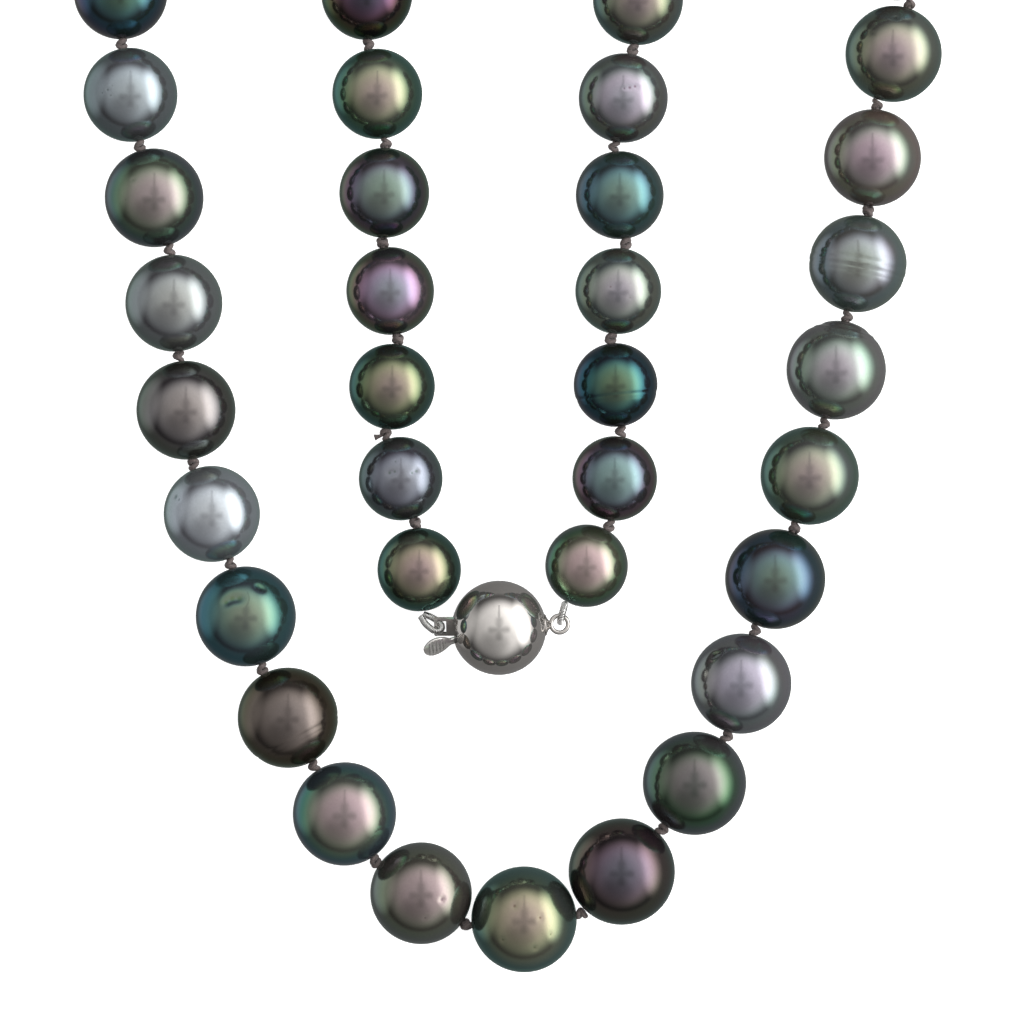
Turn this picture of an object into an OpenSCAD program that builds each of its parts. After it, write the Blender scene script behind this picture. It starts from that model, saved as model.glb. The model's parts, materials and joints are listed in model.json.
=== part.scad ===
// Pearl necklace: 41 graduated round pearls knotted on silk, closed by a ball clasp.
// It lies on a flat surface at z = 0 in two tall loops, as if laid out for display.
// Stringing order runs from pearl_01, at the clasp's tongue, round the front pearl_21,
// to pearl_41, at the clasp's soldered ring. Headings are degrees anticlockwise from +X.

/* [Pearls] */
// Diameter of the largest pearl, at the front
front_pearl_d = 11.2; // [11.1:0.05:11.3]
// Diameter of the smallest pearls, beside the clasp
end_pearl_d = 8.9; // [8.8:0.05:9.0]
// Diameter of the drilled hole through each pearl
bore_d = 0.9; // [0.85:0.05:1.1]

/* [Silk] */
// Length of strand between two pearls, which the knot fills
knot_gap = 1.0; // [0.95:0.05:1.05]
// Diameter of each silk knot
knot_d = 1.24; // [1.0:0.02:1.26]
// Diameter of the doubled silk thread
silk_d = 0.6; // [0.4:0.05:0.7]
// Length of the cut silk end beside the second knot
tail_len = 1.3; // [1.0:0.1:1.6]

/* [Bullion wire] */
// Diameter of the fine wire coil that sleeves the silk at each end of the clasp
gimp_d = 0.74; // [0.7:0.02:0.76]
// Clearance between the coil and the metal that it hangs on
gimp_play = 0.05; // [0.04:0.01:0.07]

/* [Clasp ball] */
// Outer diameter of the ball
ball_d = 10; // [9.9:0.1:10.2]
// Thickness of the ball's metal
ball_wall = 0.4; // [0.3:0.05:0.5]
// How far the slot and tongue are rolled about the clasp's long axis
clasp_roll = 45; // [40:1:50]
// Wire diameter of the soldered ring
ring_wire_d = 0.47; // [0.4:0.01:0.5]
// Diameter of the ring along the middle of its wire
ring_mid_d = 1.8; // [1.76:0.02:1.9]

/* [Clasp tongue] */
// Width of the tongue's two leaves
tongue_w = 2.6; // [2.4:0.1:2.7]
// Thickness of the leaves
leaf_t = 0.3; // [0.2:0.05:0.35]
// Length of the ribbed thumb tab
tab_len = 3.9; // [3.7:0.1:4.0]
// Width of the ribbed thumb tab
tab_w = 2.4; // [2.2:0.1:2.5]

/* [Hidden] */
$fn = 64;

// How far each pearl is off the even taper, in tenths of a millimetre
OFF_TAPER = [
    0, -1, 0, 1, 2, 1, 1, 0, 0, 0,
    -1, -2, 2, -1, 0, -4, -1, -2, 0, -3,
    0, 2, 0, -2, -1, -2, 1, 0, 0, 1,
    1, 0, 0, 0, 0, 0, 0, -1, -2, 0, -1];
PEARLS = len(OFF_TAPER);
FRONT = 21;

// Heading of each pearl's drilled hole, chosen by hand along the laid-out strand.
// Three pearls turn the strand round at the top of each loop, and are solved below.
LEFT_UP = [95, 108, 83, 99, 88, 100, 92];
LEFT_DOWN = [271, 280, 286, 275, 278, 290, 287, 298, 303, 325];
FRONT_HEADING = 6;
RIGHT_UP = [46, 55, 75, 69, 74, 78, 79, 85, 72, 104];
RIGHT_DOWN = [264, 259, 277, 261, 276, 263, 241];

// Places on the plan, measured from the centre of the clasp ball
TONGUE_END = [-8.03, 1.22];
RING_END = [6.9, 2.27];
FRONT_CENTRE = [2.64, -30.8];
RING_CENTRE = [6.4, 0.4];

function pad(k) = k < 10 ? str("0", k) : str(k);
function dir(a) = [cos(a), sin(a)];
function reversed(list) = [for (i = [len(list) - 1:-1:0]) list[i]];
function taper(steps) = front_pearl_d - (front_pearl_d - end_pearl_d) * steps / (FRONT - 1);
function in_arch(k) = (k >= 8 && k <= 10) || (k >= 32 && k <= 34);

// The arch pearls share one size, so that each arch is symmetric
function pearl_d(k) = in_arch(k) ? taper(12) : taper(abs(k - FRONT)) + OFF_TAPER[k - 1] / 10;
function link(k) = pearl_d(k) + knot_gap;
function links(first, last) = [for (k = [first:last]) link(k)];

// Knot places from p onwards, one for each heading
function walk(p, headings, lengths, i = 0) =
    i == len(headings) ? [p]
    : concat([p], walk(p + lengths[i] * dir(headings[i]), headings, lengths, i + 1));

// The two knots inside an arch of three equal links that joins a to b
function arch(a, b, l) =
    let (chord = b - a,
         heading = atan2(chord[1], chord[0]),
         bend = acos((norm(chord) / l - 1) / 2))
    [a + l * dir(heading - bend), b - l * dir(heading + bend)];

// Knot k lies between pearl k and pearl k + 1. Knots 0 and 41 are at the clasp.
LEFT_INNER = walk(TONGUE_END, LEFT_UP, links(1, 7));
LEFT_OUTER = reversed(walk(FRONT_CENTRE - link(FRONT) / 2 * dir(FRONT_HEADING),
                           reversed(LEFT_DOWN), -reversed(links(11, 20))));
RIGHT_OUTER = walk(FRONT_CENTRE + link(FRONT) / 2 * dir(FRONT_HEADING), RIGHT_UP, links(22, 31));
RIGHT_INNER = reversed(walk(RING_END, reversed(RIGHT_DOWN), -reversed(links(35, 41))));
KNOTS_ON_PLAN = concat(
    LEFT_INNER, arch(LEFT_INNER[7], LEFT_OUTER[0], link(9)), LEFT_OUTER,
    RIGHT_OUTER, arch(RIGHT_OUTER[10], RIGHT_INNER[0], link(33)), RIGHT_INNER);

// The origin is under the middle of the necklace's outline
function centre_on_plan(k) = (KNOTS_ON_PLAN[k - 1] + KNOTS_ON_PLAN[k]) / 2;
LOW = [for (axis = [0, 1]) min([for (k = [1:PEARLS]) centre_on_plan(k)[axis] - pearl_d(k) / 2])];
HIGH = [for (axis = [0, 1]) max([for (k = [1:PEARLS]) centre_on_plan(k)[axis] + pearl_d(k) / 2])];
SHIFT = -(LOW + HIGH) / 2;

function lift(p, z) = [p[0] + SHIFT[0], p[1] + SHIFT[1], z];
function knot_z(k) = (pearl_d(max(k, 1)) + pearl_d(min(k + 1, PEARLS))) / 4;
function knot(k) = lift(KNOTS_ON_PLAN[k], knot_z(k));
function pearl_at(k) = lift(centre_on_plan(k), pearl_d(k) / 2);
function heading_of(k) =
    let (along = KNOTS_ON_PLAN[k] - KNOTS_ON_PLAN[k - 1]) atan2(along[1], along[0]);

BALL_AT = lift([0, 0], ball_d / 2);
RING_AT = BALL_AT + [RING_CENTRE[0], RING_CENTRE[1], 0];

// The tongue, in the clasp's own axes: X along the clasp, Z towards the thumb tab
FOLD = [2.6, 0, -0.2];
EYE_BAR_D = 0.4;
EYE_BAR_X = -6.67;
EYE_HOLE = 0.87;
EYE_ARM = 0.35;
LEAF_END_X = -4.4;
LEAF_RISE = 14.7;
TAB_RISE = 25;
TAB_NECK = 0.9;
TAB_ROOT = 0.9;
RIBS = 6;
RIB_PITCH = 0.34;
RIB_D = 0.2;
RIB_INSET = 0.125;
FIRST_RIB = 0.74;
KNUCKLE_D = 0.7;
KNUCKLE_W = 1.2;
PLATE_KNUCKLE_W = 0.6;
PLAY = 0.1;

// Between here and the fold the leaves are narrowed, so that they pass beside each other
NARROW_LEN = 2.7;
SLOT_W = tongue_w + 4 * PLAY;
SLOT_BOTTOM = FOLD[2] - KNUCKLE_D / 2 - PLAY;
SLOT_TOP = 2.2;
BOX_WALL = 0.25;
BOX_LEN = 3.3;
RING_NECK_D = 2.4;
RING_NECK_SINK = 0.3;

// The clasp's axes in the necklace's axes
SLOT_SIDE = [0, cos(clasp_roll), sin(clasp_roll)];
TAB_SIDE = [0, -sin(clasp_roll), cos(clasp_roll)];
EYE_AT = BALL_AT + [EYE_BAR_X, 0, 0] + FOLD[2] * TAB_SIDE;
LEAF_END = [LEAF_END_X, 0, FOLD[2] + (FOLD[0] - LEAF_END_X) * tan(LEAF_RISE)];

function unit(v) = v / norm(v);
function across(v, along) = unit(v - (v * along) * along);
RING_GIMP_AT = RING_AT + ring_mid_d / 2 * unit(lift(RING_END, BALL_AT[2]) - RING_AT);
RING_GIMP_DIR = unit(knot(PEARLS) - RING_GIMP_AT);
RING_GIMP_SIDE = unit(cross([0, 0, 1], RING_GIMP_DIR));
TONGUE_GIMP_DIR = unit(knot(0) - EYE_AT);
TONGUE_GIMP_SIDE = across(SLOT_SIDE, TONGUE_GIMP_DIR);

// The silk's cut end lies off the second knot, square to the strand
TAIL_KNOT = 2;
TAIL_TURN = 85;
TAIL_HEADING = heading_of(TAIL_KNOT) + TAIL_TURN;
TAIL_GAP = 0.02;

PEARL_NODES = [for (k = [1:PEARLS]) str("pearl_", pad(k))];

// Turns X to along and Y to side, two unit vectors at right angles, and moves the origin to at
module placed(at, along, side) {
    up = cross(along, side);
    multmatrix([
        [along[0], side[0], up[0], at[0]],
        [along[1], side[1], up[1], at[1]],
        [along[2], side[2], up[2], at[2]],
        [0, 0, 0, 1]])
    children();
}

// A rod along X, from x = start to x = end
module rod(start, end, d) {
    translate([start, 0, 0])
    rotate([0, 90, 0])
    cylinder(h = end - start, d = d);
}

// A pin along Y, centred on the origin
module cross_pin(length, d) {
    rotate([90, 0, 0])
    cylinder(h = length, d = d, center = true);
}

// One pearl on its stretch of silk, with Z along the strand while it is drawn.
// The knot after it travels with it, and the last pearl's silk ends in its mouth.
module pearl(k) {
    next_knot = link(k) / 2;
    mouth = next_knot - knot_d / 2 - PLAY;
    silk_end = k == PEARLS ? mouth : next_knot;
    translate(pearl_at(k))
    rotate([0, 0, heading_of(k)])
    rotate([0, 90, 0]) {
        color("slategray")
        difference() {
            sphere(d = pearl_d(k));
            cylinder(h = pearl_d(k) + 2, d = bore_d, center = true);
        }
        color("rosybrown")
        union() {
            translate([0, 0, -mouth])
            cylinder(h = mouth + silk_end, d = silk_d);
            if (k < PEARLS) {
                translate([0, 0, next_knot])
                sphere(d = knot_d);
            }
        }
    }
}

// The cut end of the silk beside its knot, flaring where the strands part
module silk_tail() {
    start = knot_d / 2 + TAIL_GAP;
    color("rosybrown")
    translate(pearl_at(TAIL_KNOT) + (link(TAIL_KNOT) / 2) * concat(dir(heading_of(TAIL_KNOT)), 0))
    rotate([0, 0, TAIL_HEADING])
    translate([start, 0, 0])
    rotate([0, 90, 0])
    cylinder(h = tail_len - start, d1 = silk_d / 2, d2 = silk_d);
}

module in_clasp() {
    translate(BALL_AT)
    rotate([clasp_roll, 0, 0])
    children();
}

// The inside of the slot, from x = start to x = end
module slot_space(start, end, grow = 0) {
    translate([start, -SLOT_W / 2 - grow, SLOT_BOTTOM - grow])
    cube([end - start, SLOT_W + 2 * grow, SLOT_TOP - SLOT_BOTTOM + 2 * grow]);
}

// Half of the hollow ball. Side is -1 for the slotted half and 1 for the half with the ring.
module ball_half(side) {
    color("silver")
    in_clasp()
    difference() {
        sphere(d = ball_d);
        sphere(d = ball_d - 2 * ball_wall);
        translate([side > 0 ? -ball_d : 0, -ball_d, -ball_d])
        cube([ball_d, 2 * ball_d, 2 * ball_d]);
        slot_space(-ball_d, 0);
    }
}

module ball_slot_half() {
    ball_half(-1);
}

module ball_ring_half() {
    ball_half(1);
}

// The guide box inside the ball, open at the slot
module clasp_box() {
    color("lightgray")
    in_clasp()
    intersection() {
        sphere(d = ball_d - 2 * ball_wall);
        difference() {
            slot_space(-ball_d, BOX_LEN + BOX_WALL, BOX_WALL);
            slot_space(-2 * ball_d, BOX_LEN);
        }
    }
}

// The ring and the solder neck that holds it to the ball
module clasp_ring() {
    reach = norm(RING_CENTRE) - ring_mid_d / 2;
    color("silver")
    difference() {
        union() {
            translate(RING_AT)
            rotate_extrude()
            translate([ring_mid_d / 2, 0])
            circle(d = ring_wire_d);
            translate(BALL_AT)
            rotate([0, 90, atan2(RING_CENTRE[1], RING_CENTRE[0])])
            translate([0, 0, ball_d / 2 - RING_NECK_SINK])
            cylinder(h = reach - ball_d / 2 + RING_NECK_SINK, d1 = RING_NECK_D, d2 = ring_wire_d);
        }
        translate(BALL_AT)
        sphere(d = ball_d);
    }
}

// A flat strip of the tongue's metal, from x = start to x = end
module leaf(start, end, width) {
    translate([start, -width / 2, -leaf_t / 2])
    cube([end - start, width, leaf_t]);
}

// The lower leaf, from the fold inside the ball to the eye that the silk is tied to
module tongue_plate() {
    arm_start = EYE_BAR_X + EYE_HOLE + EYE_BAR_D / 2;
    plate_end = FOLD[0] - NARROW_LEN;
    knuckle_y = (tongue_w - PLATE_KNUCKLE_W) / 2;
    color("gainsboro")
    in_clasp()
    translate([0, 0, FOLD[2]]) {
        leaf(arm_start, plate_end, tongue_w);
        for (side = [-1, 1]) {
            translate([0, side * (tongue_w - EYE_ARM) / 2, 0])
            leaf(EYE_BAR_X, arm_start, EYE_ARM);
            translate([0, side * knuckle_y, 0]) {
                leaf(plate_end, FOLD[0], PLATE_KNUCKLE_W);
                translate([FOLD[0], 0, 0])
                cross_pin(PLATE_KNUCKLE_W, KNUCKLE_D);
            }
        }
        translate([EYE_BAR_X, 0, 0])
        cross_pin(tongue_w, EYE_BAR_D);
    }
}

// The upper leaf, which springs up from the fold and holds the tongue in the slot
module tongue_spring() {
    leaf_len = (FOLD[0] - LEAF_END_X) / cos(LEAF_RISE);
    color("gainsboro")
    in_clasp()
    translate(FOLD)
    rotate([0, LEAF_RISE, 0]) {
        cross_pin(KNUCKLE_W, KNUCKLE_D);
        leaf(-NARROW_LEN, 0, KNUCKLE_W);
        leaf(-leaf_len, -NARROW_LEN, tongue_w);
    }
}

// The ribbed tab that a thumb presses, standing out of the slot on a narrow neck
module thumb_tab() {
    tip_r = tab_w / 2;
    color("silver")
    in_clasp()
    translate(LEAF_END)
    rotate([0, TAB_RISE, 0]) {
        translate([-tab_len + tip_r, 0, -leaf_t / 2])
        cylinder(h = leaf_t, d = tab_w);
        leaf(-tab_len + tip_r, -TAB_ROOT, tab_w);
        leaf(-TAB_ROOT, -PLAY, TAB_NECK);
        for (i = [0:RIBS - 1]) {
            translate([-tab_len + FIRST_RIB + i * RIB_PITCH, 0, leaf_t / 2])
            cross_pin(tab_w - 2 * RIB_INSET, RIB_D);
        }
    }
}

// A closed loop of bullion wire: a bend of radius bend_r about the origin, and two legs
// that run along X to a second bend near the pearl
module gimp_loop(bend_r, leg) {
    for (side = [-1, 1]) {
        translate([0, side * bend_r, 0])
        rod(0, leg, gimp_d);
    }
    for (end = [0, 1]) {
        translate([end * leg, 0, 0])
        rotate([0, 0, 90 + 180 * end])
        rotate_extrude(angle = 180)
        translate([bend_r, 0])
        circle(d = gimp_d);
    }
}

// How far the legs run, so that the loop ends just short of the pearl's first knot place
function gimp_leg(from, to, bend_r) = norm(to - from) - bend_r - gimp_d / 2 + PLAY;

module gimp_tongue_end() {
    bend_r = (EYE_BAR_D + gimp_d) / 2 + gimp_play;
    color("whitesmoke")
    placed(EYE_AT, TONGUE_GIMP_DIR, cross(TONGUE_GIMP_SIDE, TONGUE_GIMP_DIR))
    gimp_loop(bend_r, gimp_leg(EYE_AT, knot(0), bend_r));
}

module gimp_ring_end() {
    bend_r = (ring_wire_d + gimp_d) / 2 + gimp_play;
    color("whitesmoke")
    placed(RING_GIMP_AT, RING_GIMP_DIR, cross(RING_GIMP_SIDE, RING_GIMP_DIR))
    gimp_loop(bend_r, gimp_leg(RING_GIMP_AT, knot(PEARLS), bend_r));
}

for (k = [1:PEARLS]) {
    pearl(k);
}
silk_tail();
ball_slot_half();
ball_ring_half();
clasp_box();
clasp_ring();
tongue_plate();
tongue_spring();
thumb_tab();
gimp_tongue_end();
gimp_ring_end();
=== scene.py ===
"""Looks for the pearl necklace: pearls, knotted silk, bullion wire and the ball clasp.

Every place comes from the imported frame: the joints give the knots, and each pearl lies midway
between its two knots. Lengths are in metres, unless a comment says otherwise.
"""

import json
import math
import random

import bmesh
import bpy
from mathutils import Matrix, Vector, noise


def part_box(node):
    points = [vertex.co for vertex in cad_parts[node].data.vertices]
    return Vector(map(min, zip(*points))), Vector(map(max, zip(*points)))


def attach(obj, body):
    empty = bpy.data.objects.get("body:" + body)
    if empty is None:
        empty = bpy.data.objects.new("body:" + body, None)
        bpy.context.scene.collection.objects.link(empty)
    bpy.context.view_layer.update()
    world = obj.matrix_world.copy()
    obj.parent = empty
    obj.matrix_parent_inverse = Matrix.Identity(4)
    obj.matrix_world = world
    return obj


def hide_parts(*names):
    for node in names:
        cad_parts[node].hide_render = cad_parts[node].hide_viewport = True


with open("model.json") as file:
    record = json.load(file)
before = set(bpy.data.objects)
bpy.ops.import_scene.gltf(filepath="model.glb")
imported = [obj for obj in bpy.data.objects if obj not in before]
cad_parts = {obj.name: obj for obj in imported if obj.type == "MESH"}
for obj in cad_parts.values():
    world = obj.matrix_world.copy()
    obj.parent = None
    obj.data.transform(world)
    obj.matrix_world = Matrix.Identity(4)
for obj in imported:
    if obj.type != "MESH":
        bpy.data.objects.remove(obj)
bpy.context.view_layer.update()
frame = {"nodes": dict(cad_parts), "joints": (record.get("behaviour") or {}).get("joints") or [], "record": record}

MM = 0.001
UP = Vector((0, 0, 1))
AXIS_X = Vector((1, 0, 0))
FULL_TURN = 2 * math.pi

# Sizes shared with the design
PEARLS = 41
KNOT_GAP = 1.0 * MM
BORE_R = 0.45 * MM
KNOT_R = 0.62 * MM
SILK_R = 0.24 * MM
TAIL_KNOT = 2
TAIL_LEN = 1.3 * MM
GIMP_R = 0.37 * MM
EYE_BAR_R = 0.2 * MM
RING_MID_R = 0.9 * MM
RING_WIRE_R = 0.235 * MM
RING_OFFSET_Y = 0.4 * MM
BALL_R = 5 * MM
BALL_WALL = 0.4 * MM
CLASP_ROLL = math.radians(45)
SLOT_W = 3.0 * MM
SLOT_LOW = -0.65 * MM
SLOT_HIGH = 2.2 * MM
LEAF_T = 0.3 * MM
LEAF_END_X = -4.4 * MM
LEAF_RISE = math.radians(14.7)
TAB_RISE = math.radians(25)


# ---------------------------------------------------------------- places from the frame

joints = {j["name"]: j for j in frame["joints"]}
mounts = {m["name"]: m for m in frame["record"]["mounts"]}


def joint_at(name):
    return Vector(joints[name]["pos_m"])


def knot_at(k):
    """Where knot k lies. The open one at the front has a mount instead of a joint."""
    name = f"knot_{k:02d}"
    if name in joints:
        return joint_at(name)
    return Vector(mounts["front_hang"]["pos_m"])


def pearl_name(k):
    return f"pearl_{k:02d}"


KNOTS = [knot_at(k) for k in range(PEARLS + 1)]

ball_low, ball_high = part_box("ball_slot_half")
BALL_AT = Vector((ball_high.x, (ball_low.y + ball_high.y) / 2, (ball_low.z + ball_high.z) / 2))
FOLD_AT = joint_at("clasp_press")
EYE_AT = joint_at("gimp_tongue_swing")
RING_GIMP_AT = joint_at("gimp_ring_swing")

# The clasp's own axes: along it, towards its slot's sides, and towards the thumb tab
SLOT_SIDE = Vector((0, math.cos(CLASP_ROLL), math.sin(CLASP_ROLL)))
TAB_SIDE = Vector((0, -math.sin(CLASP_ROLL), math.cos(CLASP_ROLL)))
CLASP_TURN = Matrix((AXIS_X, SLOT_SIDE, TAB_SIDE)).transposed().to_4x4()
IN_CLASP = Matrix.Translation(BALL_AT) @ CLASP_TURN


class Strung:
    """Where pearl k sits: its centre, its radius and the heading of its bore."""

    def __init__(self, k):
        before, after = KNOTS[k - 1].xy, KNOTS[k].xy
        self.name = pearl_name(k)
        self.radius = ((after - before).length - KNOT_GAP) / 2
        self.centre = ((before + after) / 2).to_3d()
        self.centre.z = self.radius
        self.along = (after - before).normalized().to_3d()
        self.entry = self.centre - self.along * (self.radius + KNOT_GAP / 2)
        self.exit = self.centre + self.along * (self.radius + KNOT_GAP / 2)


STRAND = {k: Strung(k) for k in range(1, PEARLS + 1)}


# ---------------------------------------------------------------- mesh helpers

# How deep the flutes between plies are, as a share of the cord's radius
FLUTE_DEPTH = 0.16

# An axis that rises by more than this is too upright to be crossed with UP
NEARLY_UPRIGHT = 0.9

# A CAD shape's corners closer than this are one, and its faces within this turn are one
WELD_WITHIN = 0.002 * MM
FLAT_WITHIN = math.radians(2)


def new_object(name, verts, faces, smooth=True):
    mesh = bpy.data.meshes.new(name)
    mesh.from_pydata([tuple(v) for v in verts], [], faces)
    mesh.update()
    for polygon in mesh.polygons:
        polygon.use_smooth = smooth
    return linked(name, mesh)


def linked(name, mesh):
    """A new object in the scene, with this mesh."""
    obj = bpy.data.objects.new(name, mesh)
    bpy.context.scene.collection.objects.link(obj)
    return obj


def joined(name, objects):
    """One object from several, which keeps each one's material."""
    bpy.ops.object.select_all(action="DESELECT")
    for obj in objects:
        obj.select_set(True)
    bpy.context.view_layer.objects.active = objects[0]
    if len(objects) > 1:
        bpy.ops.object.join()
    objects[0].name = name
    objects[0].data.name = name
    return objects[0]


def coat(piece, material):
    """Give a piece one material."""
    piece.data.materials.clear()
    piece.data.materials.append(material)


def smooth_path(points, steps):
    """A Catmull-Rom curve through the points, with steps pieces between each two."""
    ends = [2 * points[0] - points[1]] + list(points) + [2 * points[-1] - points[-2]]
    path = []
    for i in range(1, len(ends) - 2):
        a, b, c, d = ends[i - 1 : i + 3]
        for s in range(steps):
            t = s / steps
            path.append(
                0.5 * (2 * b + (c - a) * t + (2 * a - 5 * b + 4 * c - d) * t * t
                       + (3 * b - a - 3 * c + d) * t * t * t)
            )
    path.append(points[-1].copy())
    return path


def square_to(axis):
    """A unit vector square to the axis."""
    helper = UP if abs(axis.z) < NEARLY_UPRIGHT else AXIS_X
    return axis.cross(helper).normalized()


def carried_frames(path, closed=False):
    """A tangent, a side and an up vector at each point, with no sudden twist."""
    count = len(path)
    frames = []
    side = None
    for i in range(count):
        ahead = path[(i + 1) % count] if closed else path[min(i + 1, count - 1)]
        behind = path[i - 1] if closed else path[max(i - 1, 0)]
        tangent = (ahead - behind).normalized()
        if side is None:
            side = square_to(tangent)
        side = (side - tangent * side.dot(tangent)).normalized()
        frames.append((tangent, side, tangent.cross(side)))
    return frames


def band_faces(rings, sides, closed=False):
    """The faces between each ring of points and the next."""
    faces = []
    for i in range(rings if closed else rings - 1):
        for s in range(sides):
            here, beside = i * sides, (i + 1) % rings * sides
            after = (s + 1) % sides
            faces.append((here + s, here + after, beside + after, beside + s))
    return faces


def end_faces(rings, sides):
    """The two flat ends of a form made of rings."""
    return [tuple(reversed(range(sides))), tuple(range((rings - 1) * sides, rings * sides))]


def tube(name, path, radius, sides=12, closed=False, plies=0, twist=0.0):
    """A tube along a path. With plies, its section is fluted and turns by twist a metre, as cord is."""
    frames = carried_frames(path, closed)
    verts = []
    run = 0.0
    for i, point in enumerate(path):
        if i:
            run += (point - path[i - 1]).length
        around = radius(i / (len(path) - 1)) if callable(radius) else radius
        _, side, up = frames[i]
        for s in range(sides):
            angle = FULL_TURN * s / sides
            flute = 1
            if plies:
                flute -= FLUTE_DEPTH * (1 + math.cos(plies * (angle - twist * run))) / 2
            verts.append(point + (side * math.cos(angle) + up * math.sin(angle)) * around * flute)
    faces = band_faces(len(path), sides, closed)
    if not closed:
        faces += end_faces(len(path), sides)
    return new_object(name, verts, faces)


def ring_path(centre, axis, radius, count):
    """A circle about an axis."""
    side = square_to(axis)
    other = axis.cross(side).normalized()
    turn = [FULL_TURN * i / count for i in range(count)]
    return [centre + (side * math.cos(a) + other * math.sin(a)) * radius for a in turn]


def apply_modifiers(obj):
    bpy.context.view_layer.update()
    evaluated = obj.evaluated_get(bpy.context.evaluated_depsgraph_get())
    mesh = bpy.data.meshes.new_from_object(evaluated)
    obj.modifiers.clear()
    obj.data = mesh


def ease_edges(obj, width, segments, angle, harden=False):
    """Round the edges that turn by more than the angle, in degrees."""
    bevel = obj.modifiers.new("eased", "BEVEL")
    bevel.width = width
    bevel.segments = segments
    bevel.limit_method = "ANGLE"
    bevel.angle_limit = math.radians(angle)
    bevel.harden_normals = harden
    apply_modifiers(obj)


def bevelled_copy(node, name, width):
    """A CAD node's own shape with its edges eased, as a new piece."""
    mesh = frame["nodes"][node].data.copy()
    obj = linked(name, mesh)
    edit = bmesh.new()
    edit.from_mesh(mesh)
    bmesh.ops.remove_doubles(edit, verts=edit.verts, dist=WELD_WITHIN)
    bmesh.ops.dissolve_limit(edit, angle_limit=FLAT_WITHIN, verts=edit.verts, edges=edit.edges)
    edit.to_mesh(mesh)
    edit.free()
    ease_edges(obj, width, segments=2, angle=35, harden=True)
    return obj


# ---------------------------------------------------------------- materials

# How far the seed moves the noise on each axis
SEED_STEPS = (0.37, 0.53, 0.71)


class Graph:
    """The nodes of a material or a world."""

    def __init__(self, tree):
        self.tree = tree

    def add(self, kind, **values):
        node = self.tree.nodes.new(kind)
        for key, value in values.items():
            setattr(node, key, value)
        return node

    def feed(self, node, values):
        """Set a node's inputs by name or place: an output is linked, and a plain value is set."""
        for name, value in values.items():
            if isinstance(value, bpy.types.NodeSocket):
                self.tree.links.new(value, node.inputs[name])
            else:
                node.inputs[name].default_value = value

    def position(self):
        """The place on the object, in the shared frame."""
        return self.add("ShaderNodeTexCoord").outputs["Object"]

    def split(self, vector):
        """The vector's three numbers."""
        node = self.add("ShaderNodeSeparateXYZ")
        self.feed(node, {"Vector": vector})
        return node.outputs

    def noise(self, scale, detail=3.0, seed=0.0, roughness=0.5):
        """Noise over the object. The seed moves it, so that no two pearls match."""
        shift = self.add("ShaderNodeMapping")
        self.feed(shift, {"Vector": self.position(), "Location": [seed * step for step in SEED_STEPS]})
        texture = self.add("ShaderNodeTexNoise")
        self.feed(texture, {
            "Vector": shift.outputs["Vector"], "Scale": scale, "Detail": detail, "Roughness": roughness,
        })
        return texture.outputs["Fac"]

    def ramp(self, source, stops):
        """A colour ramp on the source, from (place, colour) stops."""
        node = self.add("ShaderNodeValToRGB")
        elements = node.color_ramp.elements
        while len(elements) < len(stops):
            elements.new(0.5)
        for element, (place, colour) in zip(elements, stops):
            element.position = place
            element.color = (*colour, 1)
        self.feed(node, {"Fac": source})
        return node.outputs["Color"]

    def span(self, source, low, high):
        """The source's 0 to 1 as low to high."""
        return self.remap(source, 0, 1, low, high, "LINEAR")

    def remap(self, source, start, end, low=0.0, high=1.0, kind="SMOOTHSTEP"):
        """From low, where the source is start, to high, where it is end."""
        node = self.add("ShaderNodeMapRange", interpolation_type=kind)
        self.feed(node, {
            "Value": source, "From Min": start, "From Max": end, "To Min": low, "To Max": high,
        })
        return node.outputs["Result"]

    def bump(self, source, strength, distance):
        node = self.add("ShaderNodeBump")
        self.feed(node, {"Height": source, "Strength": strength, "Distance": distance})
        return node.outputs["Normal"]

    def mixed(self, factor, a, b, mode="MIX"):
        """Two colours mixed."""
        node = self.add("ShaderNodeMix", data_type="RGBA", blend_type=mode)
        self.feed(node, {"Factor": factor, "A": a, "B": b})
        return node.outputs["Result"]

    def maths(self, operation, *values):
        node = self.add("ShaderNodeMath", operation=operation)
        self.feed(node, dict(enumerate(values)))
        return node.outputs["Value"]


def shader(name):
    """A new material, with its nodes and its Principled shader."""
    material = bpy.data.materials.new(name)
    material.use_nodes = True
    return material, Graph(material.node_tree), material.node_tree.nodes["Principled BSDF"]


def linear(rgb):
    """A screen colour of 0 to 255 as the shader's linear colour."""
    return tuple((c / 255 / 12.92) if c < 11 else ((c / 255 + 0.055) / 1.055) ** 2.4 for c in rgb)


# ---------------------------------------------------------------- pearls

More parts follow.
